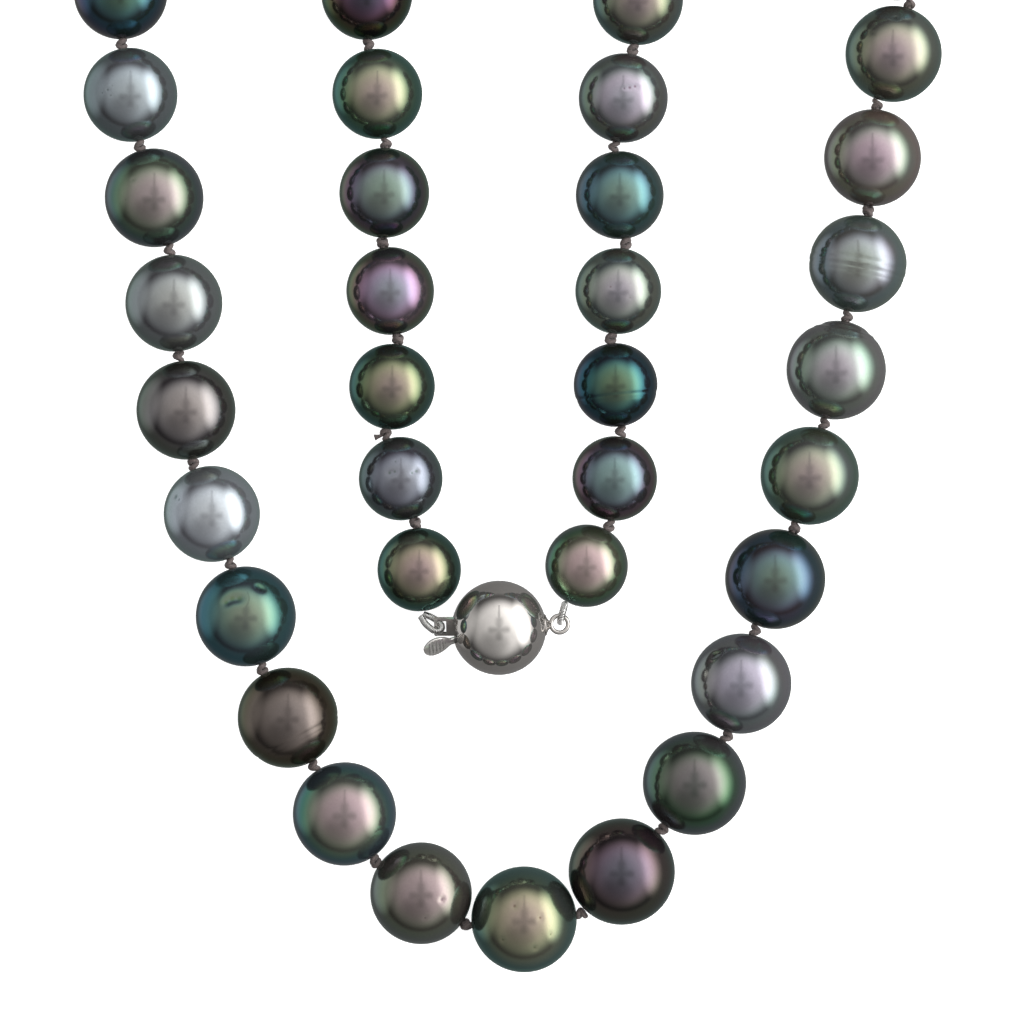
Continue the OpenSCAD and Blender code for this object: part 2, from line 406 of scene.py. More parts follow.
# Each pearl: its colour on top and round its sides as screen values, the optical thickness in nanometres of the
# film that gives its orient as it was grown, and how much orient it has. The side colour is part overtone and part
# painted shade: the dark rim where the pearl reflects its dark surroundings
NACRE = {
    1: ((128, 124, 116), (78, 86, 78), 625, 0.45),
    2: ((120, 112, 128), (114, 114, 114), 260, 0.4),
    3: ((110, 114, 106), (82, 84, 76), 615, 0.5),
    4: ((138, 126, 134), (94, 94, 98), 730, 0.5),
    5: ((122, 112, 118), (80, 94, 88), 790, 0.45),
    6: ((130, 130, 124), (92, 108, 94), 615, 0.5),
    7: ((58, 62, 50), (58, 54, 60), 695, 0.4),
    8: ((122, 124, 120), (96, 110, 104), 625, 0.4),
    9: ((130, 132, 134), (108, 116, 116), 275, 0.3),
    10: ((112, 112, 118), (92, 102, 106), 725, 0.4),
    11: ((78, 70, 70), (64, 84, 78), 515, 0.55),
    12: ((150, 150, 158), (150, 152, 154), 255, 0.45),
    13: ((124, 128, 116), (106, 104, 106), 920, 0.45),
    14: ((143, 140, 148), (152, 152, 152), 285, 0.45),
    15: ((126, 118, 126), (118, 112, 106), 310, 0.25),
    16: ((179, 179, 190), (196, 200, 206), 270, 0.45),
    17: ((92, 92, 108), (84, 106, 104), 560, 0.55),
    18: ((106, 98, 94), (92, 82, 70), 125, 0.3),
    19: ((130, 130, 118), (98, 110, 120), 930, 0.55),
    20: ((130, 126, 117), (152, 142, 136), 930, 0.35),
    21: ((134, 132, 120), (114, 122, 116), 615, 0.45),
    22: ((82, 86, 82), (108, 92, 102), 690, 0.25),
    23: ((68, 94, 74), (116, 110, 112), 930, 0.45),
    24: ((146, 152, 160), (178, 166, 174), 935, 0.35),
    25: ((101, 82, 88), (70, 96, 88), 510, 0.55),
    26: ((130, 126, 132), (126, 130, 112), 600, 0.5),
    27: ((140, 146, 146), (172, 166, 162), 900, 0.45),
    28: ((154, 142, 138), (146, 168, 160), 500, 0.45),
    29: ((145, 140, 140), (174, 152, 142), 920, 0.5),
    30: ((136, 135, 135), (142, 136, 128), 625, 0.45),
    31: ((118, 130, 130), (94, 112, 114), 520, 0.45),
    32: ((132, 132, 124), (108, 114, 106), 625, 0.35),
    33: ((142, 138, 142), (116, 118, 120), 940, 0.3),
    34: ((116, 118, 122), (94, 102, 106), 500, 0.35),
    35: ((122, 120, 124), (128, 118, 114), 610, 0.5),
    36: ((146, 153, 157), (146, 132, 134), 950, 0.45),
    37: ((100, 102, 114), (94, 118, 104), 530, 0.5),
    38: ((136, 145, 150), (146, 138, 130), 625, 0.4),
    39: ((62, 54, 74), (66, 74, 64), 545, 0.55),
    40: ((118, 122, 134), (112, 104, 104), 800, 0.35),
    41: ((148, 142, 128), (110, 116, 96), 930, 0.55),
}

# Growth marks, seen from above: how far right and up of the pearl's middle, as a share of its
# radius, and the size in millimetres
PITS = {
    2: [
        (-0.24, 0.13, 0.32), (-0.12, 0.16, 0.28), (0.3, 0.13, 0.28), (0.4, 0.17, 0.34),
        (-0.1, 0.4, 0.16),
    ],
    12: [(-0.4, 0.02, 0.21), (-0.33, -0.1, 0.15), (-0.52, -0.04, 0.15), (-0.3, 0.1, 0.12)],
    13: [(-0.35, 0.3, 0.15), (-0.5, -0.1, 0.12)],
    16: [(-0.72, 0.36, 0.51), (-0.64, 0.3, 0.3)],
    17: [
        (-0.34, 0.3, 0.5), (-0.22, 0.38, 0.6), (-0.08, 0.38, 0.6), (0.28, 0.62, 0.42),
        (0.36, 0.56, 0.42),
    ],
    20: [(0.43, -0.04, 0.33), (0.1, -0.4, 0.18)],
    21: [
        (-0.18, 0.34, 0.33), (0.3, 0.12, 0.24), (-0.4, -0.3, 0.21), (0.2, -0.45, 0.24),
        (0.5, -0.2, 0.18),
    ],
    24: [(-0.57, 0.59, 0.45), (-0.48, 0.63, 0.27)],
    30: [(-0.02, 0.69, 0.36), (-0.5, 0.35, 0.15)],
    36: [(0.12, 0.14, 0.3), (0.24, 0.17, 0.28), (0.0, 0.12, 0.2)],
    38: [(-0.2, 0.05, 0.15), (0.25, -0.2, 0.12)],
}

# Rings grown round the bore: how far along the bore from the middle, as a share of the radius,
# and how deep in millimetres
GROOVES = {
    18: [(0.42, 0.05), (0.5, 0.03)],
    27: [(0.86, 0.1), (0.76, 0.05)],
    28: [(0.06, 0.05), (-0.12, 0.06), (-0.22, 0.03)],
    39: [(0.26, 0.06), (0.34, 0.03)],
}
OFF_ROUND = {27: 0.02, 28: 0.025, 30: 0.02}
EVEN_ROUND = 0.006


# How finely a pearl is divided along and round its bore, and in the bore
RINGS = 80
SIDES = 112
BORE_RINGS = 4
LIP_ROUND = 0.12 * MM

# A groove's half width as a share of the radius, and a pit's depth as a share of its size
GROOVE_WIDTH = 0.035
PIT_DEPTH = 0.3

# The noise that makes a pearl off round, and how far each pearl's lies from the last one's
LUMP_SCALE = 1.3
LUMP_STEPS = (3.1, 1.7, 2.3)

# The overtone and the painted shade come in below the pearl's top, between these shares of its radius above its
# middle, and wander by a share of its radius
SIDE_FROM = 0.88
SIDE_FULL = 0.5
# Painted shade: the side colour is made darker by this share, for the rim that reflects dark surroundings
PAINTED_SIDE_SHADE = 0.72
ZONE_SCALE = 130
ZONE_WANDER = 0.5

# The nacre's depth of colour, its specks and its skin, as noise scales
DEPTH = 0.58
SPECKS = (0.9, 1.1)
SPECK_SCALE = 4200
SKIN_SCALE = 900
SKIN_SEED = 50
SKIN_BUMP = 0.08
SKIN_HEIGHT = 0.02 * MM
ROUGH_LOW = 0.11
ROUGH_HIGH = 0.17
EDGE_TINT = (0.68, 0.84, 0.78, 1)
ORIENT = 0.58
FILM_IOR = 1.45
NACRE_IOR = 3.2
TOP_COAT = 0.08
TOP_COAT_ROUGH = 0.06

# A pit's dark middle, as shares of the pit's size
DENT_COLOUR = (0.02, 0.018, 0.016, 1)
DENT_EDGE = 0.8
DENT_FULL = 0.15
DENT_DARK = 0.85


def pearl_axes(pearl):
    """The pearl's own axes: Z along its bore, and X up."""
    across = UP.cross(pearl.along).normalized()
    return Matrix((across.cross(pearl.along), across, pearl.along)).transposed().to_4x4()


def seen_from_above(u, v):
    """The direction from a pearl's middle to the place seen from above at (u, v)."""
    return Vector((u, v, math.sqrt(1 - u * u - v * v)))


def pearl_surface(k, direction, pits):
    """How far the surface of pearl k lies from its middle, as a share of its radius."""
    radius = STRAND[k].radius
    wander = noise.noise(direction * LUMP_SCALE + Vector([k * step for step in LUMP_STEPS]))
    share = 1 - OFF_ROUND.get(k, EVEN_ROUND) * (0.5 + 0.5 * wander)
    for place, depth in GROOVES.get(k, ()):
        share -= depth * MM / radius * math.exp(-(((direction.z - place) / GROOVE_WIDTH) ** 2))
    for pit, size in pits:
        off = (direction - pit).length * radius / (size * MM)
        share -= PIT_DEPTH * size * MM / radius * math.exp(-off * off)
    return share


def pearl_mesh(k):
    """A drilled pearl: rings from lip to lip over the outside, and back through the bore."""
    pearl = STRAND[k]
    to_own = pearl_axes(pearl).to_3x3().transposed()
    pits = [(to_own @ seen_from_above(u, v), size) for u, v, size in PITS.get(k, ())]
    lip = math.asin((BORE_R + LIP_ROUND) / pearl.radius)
    turns = [FULL_TURN * s / SIDES for s in range(SIDES)]
    verts = []
    for i in range(RINGS + 1):
        polar = lip + (math.pi - 2 * lip) * i / RINGS
        for turn in turns:
            direction = Vector(
                (math.sin(polar) * math.cos(turn), math.sin(polar) * math.sin(turn), math.cos(polar))
            )
            verts.append(direction * pearl.radius * pearl_surface(k, direction, pits))
    lip_z = (pearl.radius - LIP_ROUND) * math.cos(lip)
    for i in range(BORE_RINGS + 1):
        z = -lip_z + 2 * lip_z * i / BORE_RINGS
        verts += [Vector((BORE_R * math.cos(turn), BORE_R * math.sin(turn), z)) for turn in turns]
    bands = band_faces(RINGS + BORE_RINGS + 2, SIDES, closed=True)
    outwards = [(a, d, c, b) for a, b, c, d in bands]
    obj = new_object(f"{pearl.name}_nacre", verts, outwards)
    obj.data.transform(Matrix.Translation(pearl.centre) @ pearl_axes(pearl))
    return obj


def side_tone_and_shade_share(graph, k):
    """The share of pearl k's darker side colour, its own cast with painted shade: nothing on top, and one down its
    sides, with a wandering edge between.
    """
    pearl = STRAND[k]
    drift = ZONE_WANDER * pearl.radius
    middle_z = pearl.centre.z + drift / 2
    zones = graph.noise(ZONE_SCALE, detail=1.5, seed=k)
    height = graph.maths("MULTIPLY_ADD", zones, drift, graph.split(graph.position())["Z"])
    return graph.remap(
        height, middle_z + SIDE_FROM * pearl.radius, middle_z + SIDE_FULL * pearl.radius
    )


def dent_mask(graph, k):
    """One in the pits of pearl k and nothing elsewhere, or None if it has no pits."""
    mask = None
    pearl = STRAND[k]
    for u, v, size in PITS.get(k, ()):
        off = graph.add("ShaderNodeVectorMath", operation="DISTANCE")
        pit = pearl.centre + seen_from_above(u, v) * pearl.radius
        graph.feed(off, {0: graph.position(), 1: pit})
        near = graph.remap(
            off.outputs["Value"], size * DENT_EDGE * MM, size * DENT_FULL * MM, high=DENT_DARK
        )
        mask = near if mask is None else graph.maths("MAXIMUM", mask, near)
    return mask


def nacre(k):
    """Polished nacre: a lustrous body that turns down the sides to a darker, greener side colour, part its own
    cast and part painted shade, and orient.
    """
    body, overtone_and_shade, film, orient = NACRE[k]
    material, graph, principled = shader(f"nacre_{k:02d}")
    # Painted shade: the side colour is darkened for the rim that reflects the dark surroundings
    painted_shade_sides = [v * PAINTED_SIDE_SHADE for v in linear(overtone_and_shade)]
    colour = graph.mixed(side_tone_and_shade_share(graph, k), (*linear(body), 1), (*painted_shade_sides, 1))
    specks = graph.noise(SPECK_SCALE, detail=2, seed=k)
    grain = graph.span(specks, *[share * DEPTH for share in SPECKS])
    colour = graph.mixed(1.0, colour, grain, "MULTIPLY")
    dents = dent_mask(graph, k)
    if dents is not None:
        colour = graph.mixed(dents, colour, DENT_COLOUR)
    skin = graph.noise(SKIN_SCALE, detail=4, seed=k + SKIN_SEED)
    graph.feed(principled, {
        "Base Color": colour,
        "Roughness": graph.span(skin, ROUGH_LOW, ROUGH_HIGH),
        "Normal": graph.bump(skin, SKIN_BUMP, SKIN_HEIGHT),
        "Metallic": 1 - orient * ORIENT,
        "Specular Tint": EDGE_TINT,
        "IOR": NACRE_IOR,
        "Thin Film Thickness": film / FILM_IOR,
        "Thin Film IOR": FILM_IOR,
        "Coat Weight": TOP_COAT,
        "Coat Roughness": TOP_COAT_ROUGH,
    })
    return material


for k, pearl in STRAND.items():
    piece = pearl_mesh(k)
    coat(piece, nacre(k))
    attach(piece, pearl.name)
    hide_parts(pearl.name)


# ---------------------------------------------------------------- silk

# How far through the noise each tone of the fibres comes, and its screen colour
SILK_TONES = [(0.3, (58, 51, 51)), (0.55, (90, 80, 78)), (0.75, (126, 114, 112))]
FIBRE_SCALE = 9000
FIBRE_BUMP = 0.5
FIBRE_HEIGHT = 0.03 * MM
SILK_ROUGH = (0.62, 0.85)
SILK_SHEEN = 0.35
SILK_SHEEN_ROUGH = 0.4

PLIES = 2
PLY_TWIST = FULL_TURN / (1.5 * MM)
THREAD_START = 0.22 * MM
THREAD_STEPS = 60
WRAP_R = 0.4 * MM
WRAP_CORD_R = 0.28 * MM
WRAP_TILT = math.radians(32)
WRAP_TURN = 0.5
WRAP_APART = 0.2 * MM
WRAP_STEPS = 28
WRAP_SIDES = 14

# The cut end's three strands: how far each leans and lifts, in millimetres
TAIL_STRANDS = [(-0.18, 0.0), (0.0, 0.12), (0.2, -0.06)]
TAIL_STRAND_R = 0.13 * MM
TAIL_STEPS = 8
TAIL_SIDES = 8

# Where a strand starts, as a share of the knot's radius, and bends, as a share of its length, and
# how much of its lean and lift it has at the bend and at the tip
TAIL_ROOT = 0.6
TAIL_MID = 0.6
TAIL_MID_LEAN = 0.35
TAIL_MID_LIFT = 0.5
TAIL_TIP_LEAN = 1.2


def silk_material():
    """Twisted silk: warm grey-brown fibres with a low sheen."""
    material, graph, principled = shader("silk_thread")
    fibres = graph.noise(FIBRE_SCALE, detail=5, roughness=0.7)
    graph.feed(principled, {
        "Base Color": graph.ramp(fibres, [(place, linear(tone)) for place, tone in SILK_TONES]),
        "Roughness": graph.span(fibres, *SILK_ROUGH),
        "Normal": graph.bump(fibres, FIBRE_BUMP, FIBRE_HEIGHT),
        "Sheen Weight": SILK_SHEEN,
        "Sheen Roughness": SILK_SHEEN_ROUGH,
    })
    return material


SILK = silk_material()


def knot_wraps(name, at, along, seed):
    """An overhand knot drawn tight: two turns of cord that cross at opposite tilts."""
    random.seed(seed)
    first = random.uniform(0, math.pi)
    wraps = []
    for sign in (-1, 1):
        turn = Matrix.Rotation(first + sign * WRAP_TURN, 3, along)
        tilt_about = turn @ along.orthogonal().normalized()
        axis = Matrix.Rotation(sign * WRAP_TILT, 3, tilt_about) @ along
        path = ring_path(at + along * sign * WRAP_APART, axis, WRAP_R, WRAP_STEPS)
        wrap = tube(
            f"{name}_wrap", path, WRAP_CORD_R, WRAP_SIDES,
            closed=True, plies=PLIES, twist=PLY_TWIST / 2,
        )
        wraps.append(wrap)
    return wraps


def silk_piece(k):
    """The silk that travels with pearl k: the thread through its bore, and the knot after it."""
    pearl = STRAND[k]
    name = f"{pearl.name}_silk"
    inset = pearl.along * (KNOT_GAP / 2 + THREAD_START)
    start = pearl.entry + inset
    end = pearl.exit if k < PEARLS else pearl.exit - inset
    path = [start.lerp(end, i / THREAD_STEPS) for i in range(THREAD_STEPS + 1)]
    parts = [tube(name, path, SILK_R, plies=PLIES, twist=PLY_TWIST)]
    if k < PEARLS:
        parts += knot_wraps(name, pearl.exit, pearl.along, k)
    piece = joined(name, parts)
    coat(piece, SILK)
    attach(piece, pearl.name)


for k in STRAND:
    silk_piece(k)


def silk_tail():
    """The cut end beside the second knot: three strands that part and flare."""
    low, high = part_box("silk_tail")
    root = STRAND[TAIL_KNOT].exit
    away = ((low + high) / 2 - root).normalized()
    side = away.cross(UP).normalized()
    strands = []
    for lean, lift in TAIL_STRANDS:
        near = root + away * KNOT_R * TAIL_ROOT
        mid = root + away * TAIL_LEN * TAIL_MID
        mid += side * lean * MM * TAIL_MID_LEAN + UP * lift * TAIL_MID_LIFT * MM
        tip = root + away * TAIL_LEN + side * lean * MM * TAIL_TIP_LEAN + UP * lift * MM
        path = smooth_path([near, mid, tip], TAIL_STEPS)
        strands.append(
            tube("tail", path, TAIL_STRAND_R, TAIL_SIDES, plies=PLIES, twist=PLY_TWIST)
        )
    piece = joined("silk_cut_end", strands)
    coat(piece, SILK)
    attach(piece, pearl_name(TAIL_KNOT))
    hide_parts("silk_tail")


silk_tail()


# ---------------------------------------------------------------- metal

# The wear in the polish: how fine it is, how it shades the tone, how high it stands, and how far
# the roughness goes under and over its middle value
WEAR_SCALE = 2400
WEAR_SHADES = (0.93, 1.05)
WEAR_HEIGHT = 0.01 * MM
ROUGH_LEAST = 0.6
ROUGH_MOST = 1.5


def metal_material(name, tone, rough, scratch, haze=0.0):
    """Rhodium-plated white gold, with fine wear in its polish, and haze, which pales it."""
    material, graph, principled = shader(name)
    wear = graph.noise(WEAR_SCALE, detail=6, roughness=0.65)
    shade = graph.span(wear, *WEAR_SHADES)
    graph.feed(principled, {
        "Base Color": graph.mixed(1.0, (*linear(tone), 1), shade, "MULTIPLY"),
        "Roughness": graph.span(wear, rough * ROUGH_LEAST, rough * ROUGH_MOST),
        "Normal": graph.bump(wear, scratch, WEAR_HEIGHT),
        "Metallic": 1 - haze,
    })
    return material


POLISHED = metal_material("polished_white_gold", (172, 168, 164), 0.022, 0.02, haze=0.1)
STRUCK = metal_material("struck_white_gold", (188, 185, 182), 0.12, 0.12, haze=0.28)
INSIDE = metal_material("unpolished_white_gold", (130, 128, 126), 0.3, 0.3)
BULLION = metal_material("silvered_wire", (214, 213, 211), 0.16, 0.1)

# How finely the ball and its hollow are divided: round the clasp's axis, and along it
BALL_FINE = (160, 96)
HOLLOW_FINE = (96, 64)
BALL_SHARP = math.radians(30)
LEAF_EASE = 0.035 * MM

# The ring's neck, from its foot out: how far out from the ball and its radius, in millimetres
NECK = [(-0.12, 1.18), (0.0, 1.08), (0.1, 0.78), (0.22, 0.58), (0.36, 0.42)]
NECK_END_R = 0.3 * MM
RING_STEPS = 72
RING_SIDES = 20


def sphere_mesh(name, radius, sides, rings):
    """A sphere with its poles on X, so that its seams keep away from the camera."""
    edit = bmesh.new()
    bmesh.ops.create_uvsphere(edit, u_segments=sides, v_segments=rings, radius=radius)
    bmesh.ops.rotate(edit, verts=edit.verts, matrix=Matrix.Rotation(math.pi / 2, 3, "Y"))
    mesh = bpy.data.meshes.new(name)
    edit.to_mesh(mesh)
    edit.free()
    return linked(name, mesh)


def box_mesh(name, low, high):
    xs, ys, zs = zip(low, high)
    corners = [Vector((x, y, z)) for x in xs for y in ys for z in zs]
    faces = [(0, 1, 3, 2), (4, 6, 7, 5), (0, 4, 5, 1), (2, 3, 7, 6), (0, 2, 6, 4), (1, 5, 7, 3)]
    return new_object(name, corners, faces, smooth=False)


def cut(target, tool):
    boolean = target.modifiers.new("cut", "BOOLEAN")
    boolean.operation = "DIFFERENCE"
    boolean.solver = "EXACT"
    boolean.object = tool
    apply_modifiers(target)
    bpy.data.objects.remove(tool)


def ball_shell():
    """The polished hollow ball, with the slot for the tongue."""
    shell = sphere_mesh("clasp_ball_shell", BALL_R, *BALL_FINE)
    cut(shell, sphere_mesh("hollow", BALL_R - BALL_WALL, *HOLLOW_FINE))
    slot_low = Vector((-2 * BALL_R, -SLOT_W / 2, SLOT_LOW))
    slot_high = Vector((0, SLOT_W / 2, SLOT_HIGH))
    cut(shell, box_mesh("slot_box", slot_low, slot_high))
    for polygon in shell.data.polygons:
        polygon.use_smooth = True
    shell.data.set_sharp_from_angle(angle=BALL_SHARP)
    shell.data.transform(IN_CLASP)
    coat(shell, POLISHED)
    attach(shell, "clasp_ball")
    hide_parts("ball_slot_half", "ball_ring_half")


ball_shell()


def lathe(name, profile, at, axis, sides=48):
    """A closed form of revolution about axis, from (along, radius) points."""
    side = axis.orthogonal().normalized()
    other = axis.cross(side)
    verts = []
    for along, radius in profile:
        for s in range(sides):
            turn = FULL_TURN * s / sides
            out = side * math.cos(turn) + other * math.sin(turn)
            verts.append(at + axis * along + out * radius)
    faces = band_faces(len(profile), sides) + end_faces(len(profile), sides)
    return new_object(name, verts, faces)


def soldered_ring():
    """The ring and its neck, whose foot flares over a bead of solder on the ball."""
    _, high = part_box("clasp_ring")
    ring_at = Vector((high.x - RING_MID_R - RING_WIRE_R, BALL_AT.y + RING_OFFSET_Y, BALL_AT.z))
    out = (ring_at - BALL_AT).normalized()
    reach = (ring_at - BALL_AT).length - RING_MID_R
    path = ring_path(ring_at, UP, RING_MID_R, RING_STEPS)
    wire = tube("ring_wire", path, RING_WIRE_R, RING_SIDES, closed=True)
    profile = [(BALL_R + off * MM, radius * MM) for off, radius in NECK] + [(reach, NECK_END_R)]
    piece = joined("clasp_soldered_ring", [wire, lathe("neck", profile, BALL_AT, out)])
    coat(piece, POLISHED)
    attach(piece, "clasp_ball")
    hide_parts("clasp_ring")


soldered_ring()

for node, piece_name, body in (
    ("tongue_plate", "tongue_lower_leaf", "tongue"),
    ("tongue_spring", "tongue_upper_leaf", "tongue_leaf"),
):
    piece = bevelled_copy(node, piece_name, LEAF_EASE)
    coat(piece, STRUCK)
    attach(piece, body)
    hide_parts(node)

coat(frame["nodes"]["clasp_box"], INSIDE)

# The thumb tab, from the end of the upper leaf: along, then half width, in millimetres
TAB_OUTLINE = [
    (-3.9, 0.0), (-3.82, 0.38), (-3.58, 0.74), (-3.2, 1.04), (-2.7, 1.19), (-2.1, 1.14),
    (-1.6, 0.95), (-1.2, 0.7), (-0.88, 0.46), (-0.5, 0.43), (-0.08, 0.43),
]
TAB_STEPS = 4
TAB_EASE = 0.07 * MM
TAB_SHARP = math.radians(40)
TAB_RIBS = 5
FIRST_RIB = -3.2 * MM
RIB_PITCH = 0.4 * MM
RIB_R = 0.13 * MM
RIB_INSET = 0.12 * MM
RIB_STEPS = 16
RIB_TIP = 0.04
RIB_FULLNESS = 0.4


def rib_radius(share):
    """A rib's radius along its length, which falls away towards both ends."""
    inside = min(max(share, RIB_TIP), 1 - RIB_TIP)
    return RIB_R * math.sin(math.pi * inside) ** RIB_FULLNESS


def tab_plate(outline):
    """The flat plate of the thumb tab, from its outline."""
    count = len(outline)
    verts = [p + UP * z for z in (-LEAF_T / 2, LEAF_T / 2) for p in outline]
    faces = end_faces(2, count)
    faces += [(i, (i + 1) % count, (i + 1) % count + count, i + count) for i in range(count)]
    plate = new_object("tab_plate", verts, faces)
    edit = bmesh.new()
    edit.from_mesh(plate.data)
    bmesh.ops.recalc_face_normals(edit, faces=edit.faces)
    edit.to_mesh(plate.data)
    edit.free()
    ease_edges(plate, TAB_EASE, segments=3, angle=50)
    return plate


def thumb_tab():
    """The oval tab that a thumb presses, with rounded ribs across it."""
    edge = smooth_path([Vector((x, y, 0)) * MM for x, y in TAB_OUTLINE], TAB_STEPS)
    parts = [tab_plate(edge + [Vector((p.x, -p.y, 0)) for p in reversed(edge[1:])])]
    for i in range(TAB_RIBS):
        x = FIRST_RIB + i * RIB_PITCH
        half = min(edge, key=lambda p: abs(p.x - x)).y - RIB_INSET
        across = [half * (2 * s / RIB_STEPS - 1) for s in range(RIB_STEPS + 1)]
        parts.append(tube("rib", [Vector((x, y, LEAF_T / 2)) for y in across], rib_radius))
    piece = joined("ribbed_thumb_tab", parts)
    coat(piece, STRUCK)
    for polygon in piece.data.polygons:
        polygon.use_smooth = True
    piece.data.set_sharp_from_angle(angle=TAB_SHARP)
    run = (FOLD_AT - BALL_AT).x - LEAF_END_X
    leaf_end = FOLD_AT - AXIS_X * run + TAB_SIDE * run * math.tan(LEAF_RISE)
    tipped = CLASP_TURN @ Matrix.Rotation(TAB_RISE, 4, "Y")
    piece.data.transform(Matrix.Translation(leaf_end) @ tipped)
    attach(piece, "tongue_leaf")
    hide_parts("thumb_tab")


thumb_tab()


# ---------------------------------------------------------------- bullion wire

COIL_WIRE_R = 0.055 * MM
COIL_PITCH = 0.125 * MM
COIL_STEPS = 16
COIL_SIDES = 6
CORE_SIDES = 10
GIMP_PLAY = 0.05 * MM
GIMP_STEPS = 6
MOUTH_GAP = 0.2 * MM
BEND_STEPS = 8

# One leg of the loop, from the mouth: how far from the bar towards the mouth, and how far out to
# the side, as a share of the bend's radius
GIMP_LEG = [(1.0, 0.34), (0.85, 0.5), (0.6, 0.85), (0.35, 1.0), (0.15, 1.0)]


def coil(name, path, coil_r):
    """Fine wire wound in a close helix along a path."""
    lengths = [0.0]
    for a, b in zip(path, path[1:]):
        lengths.append(lengths[-1] + (b - a).length)
    frames = carried_frames(path)
    count = int(lengths[-1] / COIL_PITCH * COIL_STEPS)
    wound = []
    at = 0
    for i in range(count + 1):
        run = lengths[-1] * i / count
        while at < len(path) - 2 and lengths[at + 1] < run:
            at += 1
        share = (run - lengths[at]) / (lengths[at + 1] - lengths[at])
        centre = path[at].lerp(path[at + 1], share)
        side = frames[at][1].lerp(frames[at + 1][1], share)
        up = frames[at][2].lerp(frames[at + 1][2], share)
        angle = FULL_TURN * i / COIL_STEPS
        wound.append(centre + (side * math.cos(angle) + up * math.sin(angle)) * coil_r)
    return tube(name, wound, COIL_WIRE_R, COIL_SIDES)


def gimp(name, at, mouth, normal, bar_r, body):
    """A loop of bullion wire from the pearl's mouth, round a bar at, and back to the mouth."""
    along = (mouth - at).normalized()
    normal = (normal - along * normal.dot(along)).normalized()
    across = normal.cross(along)
    bend_r = bar_r + GIMP_R + GIMP_PLAY
    reach = (mouth - at).length + MOUTH_GAP
    path = [at + along * reach * t + across * bend_r * w for t, w in GIMP_LEG]
    for i in range(BEND_STEPS + 1):
        turn = math.pi * i / BEND_STEPS
        path.append(at + across * bend_r * math.cos(turn) - along * bend_r * math.sin(turn))
    path += [at + along * reach * t - across * bend_r * w for t, w in reversed(GIMP_LEG)]
    smooth = smooth_path(path, GIMP_STEPS)
    wire = coil(name, smooth, GIMP_R - COIL_WIRE_R)
    coat(wire, BULLION)
    core_r = GIMP_R - 2 * COIL_WIRE_R
    core = tube("core", smooth, core_r, CORE_SIDES, plies=PLIES, twist=PLY_TWIST)
    coat(core, SILK)
    piece = joined(name, [wire, core])
    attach(piece, body)
    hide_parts(body)


gimp("gimp_tongue_coil", EYE_AT, KNOTS[0], SLOT_SIDE, EYE_BAR_R, "gimp_tongue_end")
ring_side = UP.cross(KNOTS[PEARLS] - RING_GIMP_AT)
gimp("gimp_ring_coil", RING_GIMP_AT, KNOTS[PEARLS], ring_side, RING_WIRE_R, "gimp_ring_end")


# ---------------------------------------------------------------- stage and light

FLOOR_HALF = 6
FLOOR_DROP = 0.02 * MM
FLOOR_TONE = (0.82, 0.82, 0.82, 1)
FLOOR_GLOW = 0.7

# The lamp's cross-shaped stand overhead, out of focus, whose faint reflection shows in every
# pearl: each part's middle and half size on the plan, and half the width of its soft edge
STAND_Z = 0.45
STAND_SHEET_HALF = 0.7
STAND_PARTS = [
    ((0.0, 0.42), (0.012, 0.42), 0.035),
    ((0.0, 0.02), (0.06, 0.18), 0.06),
    ((0.0, -0.05), (0.22, 0.05), 0.06),
    ((0.0, -0.15), (0.06, 0.12), 0.06),
]
STAND_DENSITY = 0.42
STAND_TONE = (0.02, 0.02, 0.02, 1)

# The tent that lights the work: brighter to the right and high up, and dark at its foot. Each
# pair of limits below is how far a direction leans to an axis, where a share starts and is full
TENT_LIGHT = 5.0
TENT_TOWARDS = (0.83, 0.55, 0)
TENT_STOPS = [
    (0.0, 0.14), (0.2, 0.2), (0.35, 0.27), (0.5, 0.31), (0.65, 0.38), (0.8, 0.58), (1.0, 0.72),
]
TENT_LEAN = (0, -0.05, 1)
TENT_HEIGHT = (0.06, 0.7)
TENT_FOOT = 0.02

# The camera's own stand keeps some light off the work, from above and in front
SHADE_TOWARDS = (-0.2, -0.62, 0.75)
SHADE_LIMITS = (0.72, 1)
SHADE = 0.5

# What the table below throws back, a low glow from the left, and a panel of light on the right
TABLE = 0.046
TABLE_LIMITS = (0.1, -0.15)
GLOW = 0.17
GLOW_TOWARDS = (-0.96, 0.17, -0.2)
GLOW_LIMITS = (0.7, 0.95)
PANEL = 0.85
PANEL_TOWARDS = (0.985, 0.17, 0)
PANEL_SIDE = (0.55, 0.88)
PANEL_FOOT = (-0.2, 0.4)
PANEL_TOP = (0.88, 0.5)

# The same panel as a lamp, which mirrors don't see
LAMP_SIZE = (0.66, 0.3)
LAMP_POWER = 0.8
LAMP_AT = (0.46, 0.05, 0.145)

# The camera looks straight down, from this far past the clasp ball on the plan
LENS = 150
SENSOR = 36
VIEW_WIDTH = 108.4 * MM
VIEW_PAST_BALL = Vector((1.37, 12.26, 0)) * MM
CLIP_START = 0.01
CLIP_END = 20


def flat_square(name, half, height, material):
    """A level square about the origin, for the stage."""
    corners = [(-half, -half, 0), (half, -half, 0), (half, half, 0), (-half, half, 0)]
    sheet = new_object(name, corners, [(0, 1, 2, 3)], smooth=False)
    sheet.location.z = height
    coat(sheet, material)
    return sheet


def pale_floor():
    """A plain pale floor with a glow of its own, which mirrors don't see."""
    material, graph, principled = shader("pale_floor")
    graph.feed(principled, {
        "Base Color": FLOOR_TONE,
        "Roughness": 0.9,
        "Specular IOR Level": 0,
        "Emission Color": (1, 1, 1, 1),
        "Emission Strength": FLOOR_GLOW,
    })
    floor = flat_square("floor", FLOOR_HALF, -FLOOR_DROP, material)
    floor.visible_glossy = False
    floor.visible_diffuse = False


pale_floor()


